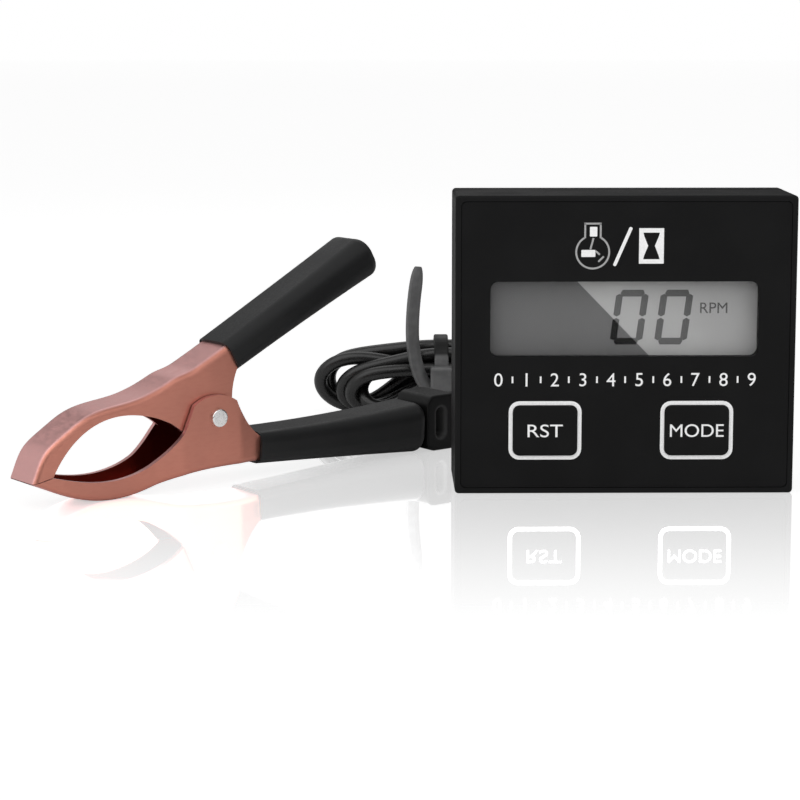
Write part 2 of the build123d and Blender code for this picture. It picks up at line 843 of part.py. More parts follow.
def handle_boot():
    """A moulded block with an upright oval window, and a tapered neck that the lead comes out of."""
    block = Pos(boot_front + boot_length / 2, 0, boot_middle) * Box(boot_length, boot_width, boot_height)
    block = fillet(block.edges().filter_by(Axis.Y), boot_corner)
    sides = block.faces().sort_by(Axis.Y)
    block = fillet(sides[0].edges() + sides[-1].edges(), boot_edge)
    width, height = boot_window
    window = Plane(
        origin=(boot_front + boot_window_from_front, 0, boot_middle), x_dir=(0, 0, 1), z_dir=(0, 1, 0)
    )
    block -= extrude(window * SlotOverall(height, width), amount=boot_width, both=True)
    sides = block.faces().sort_by(Axis.Y)
    rims = [edge for face in (sides[0], sides[-1]) for edge in face.inner_wires()[0].edges()]
    block = fillet(rims, boot_window_rim)
    neck = Plane(origin=(boot_front + boot_length, 0, boot_middle), x_dir=(0, 1, 0), z_dir=(1, 0, 0))
    taper = loft([neck * Circle(boot_neck_radius), neck.offset(boot_neck_length) * Circle(boot_neck_tip)])
    return clip_frame.location * (block + taper)


def route_radii(points):
    """The radius of each bend: as large as the runs beside it allow."""
    radii = []
    for before, corner, after in zip(points, points[1:], points[2:]):
        run_in, run_out = corner - before, after - corner
        turn = radians(run_in.get_angle(run_out))
        radii.append(bend_share * min(run_in.length, run_out.length) / tan(turn / 2))
    return radii


def lead_tube(name, start, first_run, route):
    """A lead that leaves start straight, then follows straight runs joined by tangent arcs."""
    points = [start, start + first_run, *[Vector(*p) for p in route]]
    radii = route_radii(points)
    path = FilletPolyline(*points, radius=radii)
    first = (points[1] - points[0]).normalized()
    tube = sweep(Plane(origin=points[0], z_dir=first) * Circle(lead_diameter / 2), path=path)
    section = lead_diameter**2 * 0.785398
    print(name, "length", round(path.length, 1), "radii", [round(r, 1) for r in radii])
    print(name, "volume over section times length", round(tube.volume / (section * path.length), 4))
    return tube


def lead_hank():
    sections = [
        Plane(origin=(x, hank_y, z), x_dir=(0, 1, 0), z_dir=(1, 0, 0)) * Ellipse(depth / 2, height / 2)
        for x, z, height, depth in hank_sections
    ]
    return loft(sections)


def cable_tie():
    """A band round the hank, its head in front and its long tail, uncut."""
    inner = hank_sections[3][3] / 2 + tie_gap
    outer = inner + tie_thickness
    plane = Plane(origin=(tie_x, hank_y, tie_height), x_dir=(0, 1, 0), z_dir=(1, 0, 0))
    band = extrude(plane * (Circle(outer) - Circle(inner)), amount=tie_width / 2, both=True)
    wide, deep, tall = tie_head
    head_y = hank_y - outer - deep / 2 + tie_thickness / 2
    head = Pos(tie_x, head_y, tie_height - tie_head_drop) * fillet(Box(wide, deep, tall).edges(), tie_head_edge)
    path = Spline(*[(x, head_y, z) for x, z in tail_run])
    tangent = path % 0
    a = radians(tail_twist)
    across = Vector(-tangent.Z * sin(a), cos(a), tangent.X * sin(a))
    tail = sweep(
        Plane(origin=path @ 0, x_dir=across, z_dir=tangent) * Rectangle(tail_width, tail_thickness), path=path
    )
    tail = fillet(tail.faces().sort_by(Axis.Z)[-1].edges(), tail_end_round)
    return band + head + tail


belly = web_line(lip(-lip_gap / 2)[1], lower_tip_turn, lower_web, lower_handle, lower_handle_turn)
pivot_height = -belly.bounding_box().min.Z
clip_frame = Plane(
    origin=(pivot_x, pivot_y, pivot_height),
    x_dir=(cos(radians(clip_turn)), sin(radians(clip_turn)), 0),
    z_dir=(0, 0, 1),
)
crimp_front = lower_handle_length - crimp_inset - crimp_length
sleeve_top = sleeve_floor() + lower_sleeve_rear_height
boot_front = along(lower_handle, lower_handle_turn, lower_sleeve_length, -sleeve_top)[0] + boot_gap
boot_middle = boot_height / 2 - pivot_height
boot_tip = clip_frame.from_local_coords(Vector(boot_front + boot_length + boot_neck_length, 0, boot_middle))
gland_tip = Vector(gland_x, gland_end, gland_z)
print("pivot height", round(pivot_height, 3), "boot tip", boot_tip)

parts = {
    "front_shell": front_shell(),
    "rear_shell": rear_shell(),
    "case_gasket": case_gasket(),
    "face_overlay": face_overlay(),
    "window_lens": window_lens(),
    "lcd_glass": lcd_glass(),
    "lcd_frame": lcd_frame(),
    "zebra_strip_upper": zebra_strip(1),
    "zebra_strip_lower": zebra_strip(-1),
    "circuit_board": circuit_board(),
    "case_screws": case_screws(),
    "control_chip": control_chip(),
    "crystal": crystal(),
    "chip_parts": chip_parts(),
    "coin_cell": coin_cell(),
    "cell_strap": cell_strap(),
    "cable_gland": cable_gland(),
    "case_lead_tail": case_lead_tail(),
    "upper_jaw": upper_jaw(),
    "lower_jaw": lower_jaw(),
    "pivot_rivet": pivot_rivet(),
    "torsion_spring": torsion_spring(),
    "upper_sleeve": upper_sleeve(),
    "lower_sleeve": lower_sleeve(),
    "handle_boot": handle_boot(),
    "lead_crimp": lead_crimp(),
    "clip_lead_tail": clip_lead_tail(),
    "lead_hank": lead_hank(),
    "cable_tie": cable_tie(),
    "lead_to_case": lead_tube("lead_to_case", gland_tip, Vector(0, case_first_run, 0), case_route),
    "lead_to_clip": lead_tube("lead_to_clip", boot_tip, clip_frame.x_dir * clip_first_run, clip_route),
}
for name, x in key_places.items():
    parts[f"{name}_key"] = key(x)
    parts[f"{name}_plunger"] = plunger(x)
    parts[f"{name}_switch"] = switch_body(x)

for name, shape in parts.items():
    export_step(shape, f"parts/{name}.step")
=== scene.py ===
"""Small engine tachometer, dressed: a black meter case with printed pictograms and a grey display, a hank
of thin black lead in its nylon tie, and a copper-plated clip with vinyl sleeves.

Sizes are written in millimetres, and MM turns them to metres. The case stands on the floor with its
display towards -Y, the clip stands on its lower jaw to the left, and the hank lies behind both.
"""

from math import atan2, ceil, cos, hypot, inf, pi, radians, sin

import bmesh
import bpy
from mathutils import Matrix, Vector


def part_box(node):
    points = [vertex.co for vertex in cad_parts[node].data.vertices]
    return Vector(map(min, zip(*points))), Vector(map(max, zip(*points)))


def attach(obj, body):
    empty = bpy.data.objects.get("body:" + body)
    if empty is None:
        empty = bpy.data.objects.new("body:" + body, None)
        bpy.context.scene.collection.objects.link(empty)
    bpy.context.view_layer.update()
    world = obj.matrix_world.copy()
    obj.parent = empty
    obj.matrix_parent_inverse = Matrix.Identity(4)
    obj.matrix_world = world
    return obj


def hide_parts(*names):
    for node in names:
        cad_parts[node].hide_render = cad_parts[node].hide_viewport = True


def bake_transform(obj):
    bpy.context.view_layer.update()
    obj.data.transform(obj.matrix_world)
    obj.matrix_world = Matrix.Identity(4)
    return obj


MM = 0.001

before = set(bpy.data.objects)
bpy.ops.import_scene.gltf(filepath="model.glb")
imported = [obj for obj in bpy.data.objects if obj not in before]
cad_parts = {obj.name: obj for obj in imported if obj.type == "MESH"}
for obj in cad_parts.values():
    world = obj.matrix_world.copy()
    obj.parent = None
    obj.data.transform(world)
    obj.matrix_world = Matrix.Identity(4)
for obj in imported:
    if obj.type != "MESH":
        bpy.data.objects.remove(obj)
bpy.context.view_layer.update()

# Camera
CAMERA_AT = (-37.67, -337.75, 72.03)
CAMERA_TURN = -0.683  # degrees from straight along +Y
CAMERA_PITCH = -7.454
LENS = 100.54
SENSOR = 36.0
SHIFT_Y = -0.12
NEAREST_SEEN = 10.0

# Lead
LEAD_DIAMETER = 2.4
CASE_ROUTE = [
    (16.0, 19.55, 9.0),
    (16.0, 28.55, 9.0),
    (18.3, 38.0, 3.6),
    (19.6, 48.5, 1.5),
    (17.6, 58.0, 1.3),
    (9.5, 63.2, 1.5),
    (1.0, 62.6, 3.7),
]
CLIP_ROUTE = [
    (-0.4, 58.6, 3.7),
    (8.0, 58.0, 2.0),
    (12.4, 50.2, 1.3),
    (7.2, 42.4, 1.3),
    (-3.2, 43.2, 1.6),
    (-13.84, 41.24, 4.65),
    (-20.95, 35.72, 4.65),
]
CURVE_STEPS = 6  # between two control points
LEAD_BEVEL_STEPS = 5  # round a quarter of the lead

# Hank. A fold is its far end's x and height, the height of its top, how far its low and its high strand
# reach back, and the y of its bottom and its top from the tie's middle. A strand is where it passes through
# the tie, as y and z from the tie's middle. Each turn has a left fold, a low and a high strand, and a right
# fold on to the next turn
TIE_AT = (-25.6, 60.0, 8.75)
FOLD_BOTTOM = 0.5  # before the turns settle, which lifts it off the floor
LEFT_FOLDS = [
    (-48.2, 6.6, 10.7, 8.6, 7.6, 2.0, -0.5),
    (-46.9, 6.2, 10.8, 8.0, 7.6, 4.2, 2.4),
    (-44.7, 4.4, 9.4, 5.5, 9.6, 1.0, -2.2),
    (-42.9, 4.4, 8.3, 5.2, 6.4, -0.4, -4.2),
    (-41.0, 4.8, 8.6, 5.4, 5.8, -3.6, 2.2),
]
RIGHT_FOLDS = [
    (-5.6, 6.5, 12.4, 5.5, 8.0, 2.0, 0.5),
    (-7.6, 6.5, 12.6, 5.5, 8.0, 3.8, -1.5),
    (-6.0, 5.5, 11.4, 5.0, 8.0, -0.6, -2.8),
    (-7.4, 5.0, 9.6, 5.0, 6.6, -3.6, -4.4),
]
LOW_STRANDS = [(1.2, 0.0), (3.6, 0.0), (2.55, -2.55), (0.0, -3.6), (-2.55, -2.55)]
HIGH_STRANDS = [(-1.2, 0.0), (0.0, 3.6), (-2.55, 2.55), (-3.6, 0.0), (2.55, 2.55)]
FOLD_STEPS = 6
LEG = 3.2  # longest run between two control points in the hank
SMOOTHINGS = 3
PINCH = 3.5  # how far beside the tie the strands still run level

# Tie
TIE_RADIUS = 4.8
TIE_WIDTH = 2.5
TIE_THICKNESS = 0.9
BAND_CORNER = 0.25
BAND_STEPS = 56
TIE_HEAD = (4.0, 3.0, 4.2)
TIE_HEAD_CORNER = 0.45
TIE_HEAD_DROP = 1.3
TIE_HEAD_Y = TIE_AT[1] - TIE_RADIUS - TIE_THICKNESS / 2 - TIE_HEAD[1] / 2
TIE_HEAD_STEPS = 3  # in a rounded corner
TAIL_SIZE = (2.2, 1.0)
TAIL_TWIST = 35.0
TAIL_POINT = (1.0, 0.5)  # how long the tapered end is, and how wide it ends
TAIL_RUN = [(-27.2, 4.8), (-29.2, 7.0), (-30.3, 10.6), (-30.9, 14.8), (-30.7, 20.5), (-29.8, 27.5)]
WELD = 0.001  # points closer than this are one

# Clip: where its pivot is, and how it is turned
PIVOT = (-64.3, 2.1)
CLIP_TURN = 37.8

# Copper. The flanks have two tones in clouds, the webs get a painted sheen that makes them lighter and
# pinker, and the sides that face inwards get painted shade that makes them dark. A web's painted sheen
# becomes a flank, and a flank's back the painted shade of an inner side, between two distances from the
# clip's middle
FLANK_TONES = ((0.58, 0.24, 0.18), (0.54, 0.225, 0.17))
WEB_PAINTED_SHEEN = (0.70, 0.39, 0.375)
INNER_PAINTED_SHADE = (0.20, 0.024, 0.014)
FLANK_STARTS = (0.6, 2.6)
PAINTED_SHADE_STARTS = (-2.0, -1.0)

# Boot: its oval's middle from the pivot, its height, its straight run and its radius, and how far inside and
# outside that radius its grey ends. The grey oval is a painted highlight on the boot.
BOOT_OVAL = (44.56, 4.65, 3.2, 1.45)
BOOT_OVAL_RIM = (0.3, 0.1)

# Room, as reflections see it: how bright it is low down and overhead, and between which z of a direction it
# changes, then how bright it is to the left, and between which x. Its light on everything comes last
ROOM_LOW = 0.12
ROOM_HIGH = 0.62
ROOM_RISE = (0.4, 0.8)
ROOM_SIDE = 0.7
ROOM_LEFT = (-0.75, -0.3)
ROOM_LIGHT = 0.6

# Table: half its width, in metres, how much of its own light and shadow it shows, how white it is besides,
# how much it mirrors, from which y to which, and how blurred
TABLE_REACH = 3.0
TABLE_SHADE = 0.25
TABLE_WHITE = 1.1
MIRROR = 0.34
MIRROR_RUN = (-100.0, -4.0)
MIRROR_BLUR = 0.025

# Lamps: place, size and power
LAMPS = {
    "key_light": ((-260, -300, 420), 700, 2.0),
    "fill_light": ((320, -260, 260), 500, 0.55),
    "rim_light": ((-60, 380, 300), 300, 0.2),
}
LAMP_TARGET = (-20, 20, 15)

# Noise: what it mostly lies between, alone and as a sum of two, and where drawn lines, clouds and flow marks
# start and end
SPREAD = (0.3, 0.7)
SUM_SPREAD = (0.7, 1.3)
DRAWN_SPREAD = (0.3, 0.75)
CLOUD_SPREAD = (0.35, 0.68)
FLOW_SPREAD = (0.35, 0.7)

# Surfaces: how large flow marks and clouds are, how much lighter flow marks are, as a factor and a step, and
# how far the gloss strays on plastic and on metal
FLOW_SIZE = 9.0
CLOUD_SIZE = 7.0
COPPER_CLOUD_SIZE = 9.0
FLOW_LIGHTER = (1.12, 0.0005)
PLASTIC_GLOSS = (-0.06, 0.07)
METAL_GLOSS = (-0.06, 0.09)

# Tones: the darker and the lighter one of each surface that has two
NYLON_BLACK = (0.004, 0.004, 0.004)
# The nylon's two grey tones are a painted sheen on the tie's head and tail
NYLON_PAINTED_SHEEN = ((0.10, 0.10, 0.101), (0.125, 0.125, 0.126))
# The boot's rubber tone, then its lighter tone, which is a painted highlight in its oval
BOOT_RUBBER_AND_HIGHLIGHT = ((0.0045, 0.0045, 0.0046), (0.035, 0.035, 0.035))
LEAD_TONES = ((0.004, 0.004, 0.004), (0.008, 0.008, 0.008))
DISPLAY_TONES = ((0.145, 0.145, 0.146), (0.46, 0.46, 0.457))
FIGURE_TONES = ((0.002, 0.002, 0.002), (0.13, 0.13, 0.13))
BOARD_TONES = ((0.015, 0.13, 0.05), (0.05, 0.25, 0.08))
INK_TONES = (0.94, 1.05)

# Glare on the display: its slanted edge from the window's top to its bottom, how soft that edge is, and how
# far to the right the glare falls to which share
GLARE_TOP = (-7.2, 32.0)
GLARE_BOTTOM = (3.57, 20.9)
GLARE_SOFTNESS = 0.08
GLARE_REACH = 24
GLARE_END = 0.5

# Print on the face
INK = 0.03
KEY_OUTLINE = (10.95, 8.9, 1.6, 0.6)  # width, height, corner and stroke
KEY_LABELS = {"reset": ("RST", 5.3), "mode": ("MODE", 8.1)}
LABEL_HEIGHT = 1.95

# Engine: its middle, its case's radius, its neck's width and height, then the rod and the marks of the
# turning crank as strokes, and the piston and the crank as sizes and places, all from its middle
ENGINE_MIDDLE = (-5.07, 36.58)
ENGINE_RADIUS = 2.46
ENGINE_SIDES = 48
ENGINE_NECK = (2.3, 4.25)
ENGINE_STROKES = [((0.1, 2.1), (-0.35, 0.4)), ((0.45, 0.16), (1.05, -0.4)), ((1.65, -0.65), (0.85, -1.45))]
ENGINE_BLOCKS = [((1.1, 1.45), (0.1, 3.05)), ((2.1, 1.05), (-0.65, -0.2))]
BLOCK_CORNER = 0.1
THIN_STROKE = 0.27
STROKE_OVERLAP = 0.1
SLASH = ((-1.85, 34.5), (0.65, 40.3))
SLASH_STROKE = 0.5
SLASH_CORNER = 0.225

# Hourglass: its middle, the white frame's size, its borders at the sides and at the ends, and the dark
# shape's narrowest width, and how fast it widens
GLASS_MIDDLE = (3.67, 37.49)
GLASS_FRAME = (3.7, 5.3)
GLASS_BORDER = (0.62, 0.66)
GLASS_WAIST = 1.0
GLASS_TAPER = 1.1
GLASS_STEPS = 8

# Row of numbers under the window: half its width, and its height on the face
SCALE_ROW = (19.0, 17.35)
SCALE_TOP = 9
SCALE_HEIGHT = 2.0
TICK_HEIGHT = 1.0
TICK_STROKE = 0.26

# Figures on the display, and the unit: its text, height, middle and width
FIGURE_HEIGHT = 8.3
FIGURE_WIDTH = 4.9
FIGURE_STROKE = 1.02
FIGURE_SLANT = 0.13
FIGURE_GAP = 0.1  # between two bars of a figure
FIGURE_PLACES = [(0.75, 26.5), (7.45, 26.5)]
FIGURE_INK = 0.02
DISPLAY_UNIT = ("RPM", 1.6, (13.45, 27.9), 4.1)


class Signal:
    """An output socket in a material, with arithmetic."""

    def __init__(self, finish, socket):
        self.finish = finish
        self.socket = socket

    def math(self, operation, first, second):
        return self.finish.node("Math", {"operation": operation}, {0: first, 1: second})

    def __add__(self, other):
        return self.math("ADD", self, other)

    def __radd__(self, other):
        return self.math("ADD", other, self)

    def __sub__(self, other):
        return self.math("SUBTRACT", self, other)

    def __rsub__(self, other):
        return self.math("SUBTRACT", other, self)

    def __mul__(self, other):
        return self.math("MULTIPLY", self, other)

    def __rmul__(self, other):
        return self.math("MULTIPLY", other, self)


class Graph:
    """A node tree under way."""

    def __init__(self, tree):
        self.tree = tree

    def plug(self, socket, value):
        if isinstance(value, Signal):
            self.tree.links.new(value.socket, socket)
        else:
            socket.default_value = value

    def node(self, kind, settings, values, output=0):
        """Adds one node: its settings first, then its inputs by name or number."""
        node = self.tree.nodes.new("ShaderNode" + kind)
        for name, value in settings.items():
            setattr(node, name, value)
        for name, value in values.items():
            self.plug(node.inputs[name], value)
        return Signal(self, node.outputs[output])

    def parts(self, vector):
        """The three parts of a vector."""
        node = self.tree.nodes.new("ShaderNodeSeparateXYZ")
        self.plug(node.inputs[0], vector)
        return [Signal(self, socket) for socket in node.outputs]

    def between(self, value, low, high, first=0.0, last=1.0):
        """A value from low to high, as one from first to last, with soft ends."""
        values = {"Value": value, "From Min": low, "From Max": high, "To Min": first, "To Max": last}
        return self.node("MapRange", {"interpolation_type": "SMOOTHSTEP"}, values)


class Finish(Graph):
    """A material under way. What is the same all over is set on its shader, and the rest is linked."""

    def __init__(self, name, color, roughness, **constants):
        self.material = bpy.data.materials.new(name)
        self.material.use_nodes = True
        super().__init__(self.material.node_tree)
        self.shader = self.tree.nodes["Principled BSDF"]
        self.material.diffuse_color = (*color, 1)
        self.set("Base Color", (*color, 1))
        self.set("Roughness", roughness)
        for constant, value in constants.items():
            self.set(constant.replace("_", " "), value)

    def set(self, name, value):
        self.plug(self.shader.inputs[name], value)

    def place(self, stretch=(1, 1, 1)):
        """Object coordinates, stretched along an axis."""
        at = self.node("TexCoord", {}, {}, "Object")
        return self.node("Mapping", {}, {"Vector": at, "Scale": stretch})

    def axes(self):
        """Object coordinates one by one, in millimetres."""
        at = self.node("TexCoord", {}, {}, "Object")
        return self.parts(self.node("VectorMath", {"operation": "SCALE"}, {0: at, "Scale": 1 / MM}))

    def noise(self, grain, detail=2.0, stretch=(1, 1, 1)):
        """Noise from 0 to 1, with features of a size in millimetres."""
        values = {"Vector": self.place(stretch), "Scale": 1 / (grain * MM), "Detail": detail}
        return self.node("TexNoise", {}, values, "Fac")

    def blend(self, factor, first, second):
        """One colour, then another, by a factor."""
        colors = [color if isinstance(color, Signal) else (*color, 1) for color in (first, second)]
        return self.node("Mix", {"data_type": "RGBA"}, {0: factor, 6: colors[0], 7: colors[1]}, 2)

    def bump(self, height, depth):
        """A relief of a depth in millimetres."""
        self.set("Normal", self.node("Bump", {}, {"Height": height, "Distance": depth * MM, "Strength": 1.0}))


def moulded(name, color, roughness, grain, depth, **constants):
    """Moulded plastic or rubber: a fine grain, faint flow marks and uneven gloss."""
    finish = Finish(name, color, roughness, **constants)
    fine = finish.noise(grain, 3.0)
    flow = finish.noise(FLOW_SIZE, 2.0)
    lighter = [min(1.0, part * FLOW_LIGHTER[0] + FLOW_LIGHTER[1]) for part in color]
    gloss = [roughness + change for change in PLASTIC_GLOSS]
    finish.set("Base Color", finish.blend(finish.between(flow, *FLOW_SPREAD), color, lighter))
    finish.set("Roughness", finish.between(fine + flow, *SUM_SPREAD, *gloss))
    finish.bump(fine, depth)
    return finish.material


def plated(name, color, second, roughness, grain, depth, stretch=(1, 1, 1)):
    """Metal with a drawn or tumbled surface, and a second tone in soft clouds."""
    finish = Finish(name, color, roughness, Metallic=1.0)
    drawn = finish.noise(grain, 4.0, stretch)
    clouds = finish.noise(CLOUD_SIZE, 2.0)
    gloss = [roughness + change for change in METAL_GLOSS]
    finish.set("Base Color", finish.blend(finish.between(clouds, *CLOUD_SPREAD), color, second))
    finish.set("Roughness", finish.between(drawn, *DRAWN_SPREAD, *gloss))
    finish.bump(drawn, depth)
    return finish.material


def tie_nylon():
    """Black nylon, with a painted sheen that makes the head and the tail greyer, in front of the band."""
    finish = Finish("tie_nylon", (0.03, 0.03, 0.031), 0.45, Specular_IOR_Level=0.2)
    x, y, z = finish.axes()
    flow = finish.noise(1.5, 2.0)
    # Painted sheen: grey tones on the head and the tail
    painted_sheen = finish.blend(finish.between(flow, *SPREAD), *NYLON_PAINTED_SHEEN)
    front = TIE_AT[1] - TIE_RADIUS
    behind = finish.between(y, front - TIE_THICKNESS / 2, front)
    finish.set("Base Color", finish.blend(behind, painted_sheen, NYLON_BLACK))
    finish.set("Roughness", finish.between(flow, *SPREAD, 0.33, 0.45))
    return finish.material


def turned(x, y):
    """Two parts of a vector, along the clip and across it."""
    turn = radians(CLIP_TURN)
    return x * cos(turn) + y * sin(turn), y * cos(turn) - x * sin(turn)


def boot_rubber():
    """Black rubber, greyer in its upright oval and on the oval's rim, which is a painted highlight."""
    finish = Finish("boot_rubber", BOOT_RUBBER_AND_HIGHLIGHT[0], 0.46, Specular_IOR_Level=0.17)
    x, y, z = finish.axes()
    along = turned(x - PIVOT[0], y - PIVOT[1])[0]
    middle, height, straight, rim = BOOT_OVAL
    above = finish.node("Math", {"operation": "ABSOLUTE"}, {0: z - height}) - straight / 2
    beyond = finish.node("Math", {"operation": "MAXIMUM"}, {0: above, 1: 0.0})
    offset = finish.node("CombineXYZ", {}, {"X": along - middle, "Y": beyond})
    distance = finish.node("VectorMath", {"operation": "LENGTH"}, {0: offset}, "Value")
    oval = finish.between(distance, rim - BOOT_OVAL_RIM[0], rim + BOOT_OVAL_RIM[1], 1.0, 0.0)
    fine = finish.noise(0.3, 3.0)
    # Painted highlight: the oval and its rim are greyer
    finish.set("Base Color", finish.blend(oval, *BOOT_RUBBER_AND_HIGHLIGHT))
    finish.set("Roughness", finish.between(fine, *SPREAD, 0.4, 0.52))
    finish.bump(fine, 0.008)
    return finish.material


def copper_plate():
    """Satin copper plate: a painted sheen makes the jaws' edges lighter and pinker, and painted shade makes
    the sides that face inwards dull and dark.
    """
    finish = Finish("copper_plate", (0.72, 0.33, 0.25), 0.42, Metallic=1.0)
    drawn = finish.noise(0.4, 4.0, (0.3, 0.3, 1))
    clouds = finish.noise(COPPER_CLOUD_SIZE, 2.0)
    x, y, z = finish.axes()
    across = turned(x - PIVOT[0], y - PIVOT[1])[1]
    x, y, z = finish.parts(finish.node("TexCoord", {}, {}, "Normal"))
    facing = turned(x, y)[1] * across
    flank = finish.blend(finish.between(clouds, *CLOUD_SPREAD), *FLANK_TONES)
    # Painted sheen: the webs, whose normals don't point across the clip, are lighter and pinker than the
    # flanks
    sheen_and_flank = finish.blend(finish.between(facing, *FLANK_STARTS), WEB_PAINTED_SHEEN, flank)
    # Painted shade: the sides that face inwards, into the jaws, are dark
    finish.set("Base Color", finish.blend(finish.between(facing, *PAINTED_SHADE_STARTS), INNER_PAINTED_SHADE, sheen_and_flank))
    finish.set("Roughness", finish.between(drawn, *DRAWN_SPREAD, 0.37, 0.5))
    finish.bump(drawn, 0.002)
    return finish.material


def glare(finish):
    """1 right of the slanted edge that crosses the window, falling off towards its right end."""
    x, y, z = finish.axes()
    along = (GLARE_BOTTOM[0] - GLARE_TOP[0], GLARE_BOTTOM[1] - GLARE_TOP[1])
    length = hypot(*along)
    across = (-along[1] / length, along[0] / length)
    offset = across[0] * GLARE_TOP[0] + across[1] * GLARE_TOP[1]
    side = x * across[0] + z * across[1]
    edge = finish.between(side, offset - GLARE_SOFTNESS, offset + GLARE_SOFTNESS)
    return edge * finish.between(side, offset, offset + GLARE_REACH, 1.0, GLARE_END)


def display_glass():
    """Grey display glass, lighter in the glare."""
    finish = Finish("display_glass", (0.14, 0.14, 0.142), 0.5, Specular_IOR_Level=0.1)
    light = glare(finish)
    speckle = finish.noise(0.25, 2.0)
    finish.set("Base Color", finish.blend(light, *DISPLAY_TONES))
    finish.set("Roughness", finish.between(speckle, *SPREAD, 0.45, 0.6))
    finish.bump(speckle, 0.004)
    return finish.material


def display_figures():
    """Black figures, grey in the glare."""
    finish = Finish("display_figures", (0.003, 0.003, 0.003), 0.5, Specular_IOR_Level=0.05)
    finish.set("Base Color", finish.blend(glare(finish), *FIGURE_TONES))
    finish.set("Roughness", finish.between(finish.noise(0.3), *SPREAD, 0.45, 0.6))
    return finish.material


def clear_window():
    """A clear window with a faint haze."""
    finish = Finish("clear_window", (0.1, 0.1, 0.1), 0.08, Alpha=0.06)
    haze = finish.noise(6.0, 2.0)
    finish.set("Roughness", finish.between(haze, *SPREAD, 0.06, 0.12))
    finish.set("Alpha", finish.between(haze, *SPREAD, 0.05, 0.07))
    return finish.material


def ink(name, level):
    """Screen-printed ink of a grey level."""
    finish = Finish(name, (level, level, level), 0.5)
    grain = finish.noise(0.2, 3.0)
    tones = [(level * factor,) * 3 for factor in INK_TONES]
    finish.set("Base Color", finish.blend(finish.between(grain, *SPREAD), *tones))
    finish.set("Roughness", finish.between(grain, *SPREAD, 0.45, 0.6))
    finish.bump(grain, 0.003)
    return finish.material


def solder_mask():
    """Green board with copper tracks under its lacquer."""
    finish = Finish("solder_mask", (0.02, 0.16, 0.06), 0.3)
    at = {"Vector": finish.place(), "Scale": 160.0}
    lanes = finish.node("TexWave", {"bands_direction": "DIAGONAL"}, at)
    tracks = finish.between(lanes, 0.75, 0.85)
    finish.set("Base Color", finish.blend(tracks, *BOARD_TONES))
    finish.bump(tracks, 0.03)
    return finish.material


def coaxial_skin():
    """The lead's black PVC skin."""
    finish = Finish("lead_skin", (0.005, 0.005, 0.005), 0.3, Specular_IOR_Level=0.45)
    waves = finish.noise(3.0, 2.0)
    grain = finish.noise(0.3, 2.0)
    finish.set("Base Color", finish.blend(finish.between(waves, *SPREAD), *LEAD_TONES))
    finish.set("Roughness", finish.between(waves + grain, *SUM_SPREAD, 0.24, 0.36))
    finish.bump(grain, 0.006)
    return finish.material


MATERIALS = {
    "case": moulded("case_moulding", (0.007, 0.007, 0.0072), 0.6, 0.22, 0.006, Specular_IOR_Level=0.08),
    "overlay": moulded("overlay_film", (0.0065, 0.0065, 0.0067), 0.5, 0.12, 0.003, Specular_IOR_Level=0.07),
    "key": moulded("key_rubber", (0.0065, 0.0065, 0.0066), 0.5, 0.15, 0.005, Specular_IOR_Level=0.07),
    "gasket": moulded("gasket_rubber", (0.02, 0.02, 0.02), 0.7, 0.2, 0.01),
    "frame": moulded("frame_plastic", (0.6, 0.6, 0.57), 0.45, 0.3, 0.005),
    "chip": moulded("chip_moulding", (0.015, 0.015, 0.016), 0.6, 0.12, 0.008),
    "ceramic": moulded("ceramic", (0.3, 0.22, 0.14), 0.55, 0.15, 0.004),
    "plunger": moulded("plunger_plastic", (0.06, 0.06, 0.06), 0.5, 0.2, 0.004),
    "vinyl": moulded("sleeve_vinyl", (0.011, 0.0112, 0.0116), 0.44, 0.35, 0.006, Specular_IOR_Level=0.2),
    "gland": moulded("gland_rubber", BOOT_RUBBER_AND_HIGHLIGHT[0], 0.46, 0.3, 0.008, Specular_IOR_Level=0.17),
    "boot": boot_rubber(),
    "nylon": tie_nylon(),
    "lead": coaxial_skin(),
    "steel": plated("bright_steel", (0.62, 0.62, 0.61), (0.52, 0.52, 0.52), 0.3, 0.25, 0.004, (1, 0.1, 1)),
    "nickel": plated("rivet_nickel", (0.86, 0.85, 0.84), (0.66, 0.66, 0.66), 0.24, 0.4, 0.012),
    "copper": copper_plate(),
    "lens": clear_window(),
    "display": display_glass(),
    "figures": display_figures(),
    "board": solder_mask(),
    "white": ink("white_ink", 0.78),
    "grey": ink("grey_ink", 0.33),
}
NODE_MATERIALS = {
    "front_shell": "case",
    "rear_shell": "case",
    "case_gasket": "gasket",
    "face_overlay": "overlay",
    "window_lens": "lens",
    "lcd_glass": "display",
    "lcd_frame": "frame",
    "zebra_strip_upper": "gasket",
    "zebra_strip_lower": "gasket",
    "circuit_board": "board",
    "case_screws": "steel",
    "control_chip": "chip",
    "crystal": "steel",
    "chip_parts": "ceramic",
    "coin_cell": "steel",
    "cell_strap": "steel",
    "cable_gland": "gland",
    "case_lead_tail": "lead",
    "upper_jaw": "copper",
    "lower_jaw": "copper",
    "pivot_rivet": "nickel",
    "upper_sleeve": "vinyl",
    "lower_sleeve": "vinyl",
    "handle_boot": "boot",
    "lead_crimp": "nickel",
    "clip_lead_tail": "lead",
    "reset_key": "key",
    "reset_plunger": "plunger",
    "reset_switch": "chip",
    "mode_key": "key",
    "mode_plunger": "plunger",
    "mode_switch": "chip",
}


def dress(node, material):
    """Gives a CAD node its finish."""
    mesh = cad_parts[node].data
    mesh.materials.clear()
    mesh.materials.append(material)


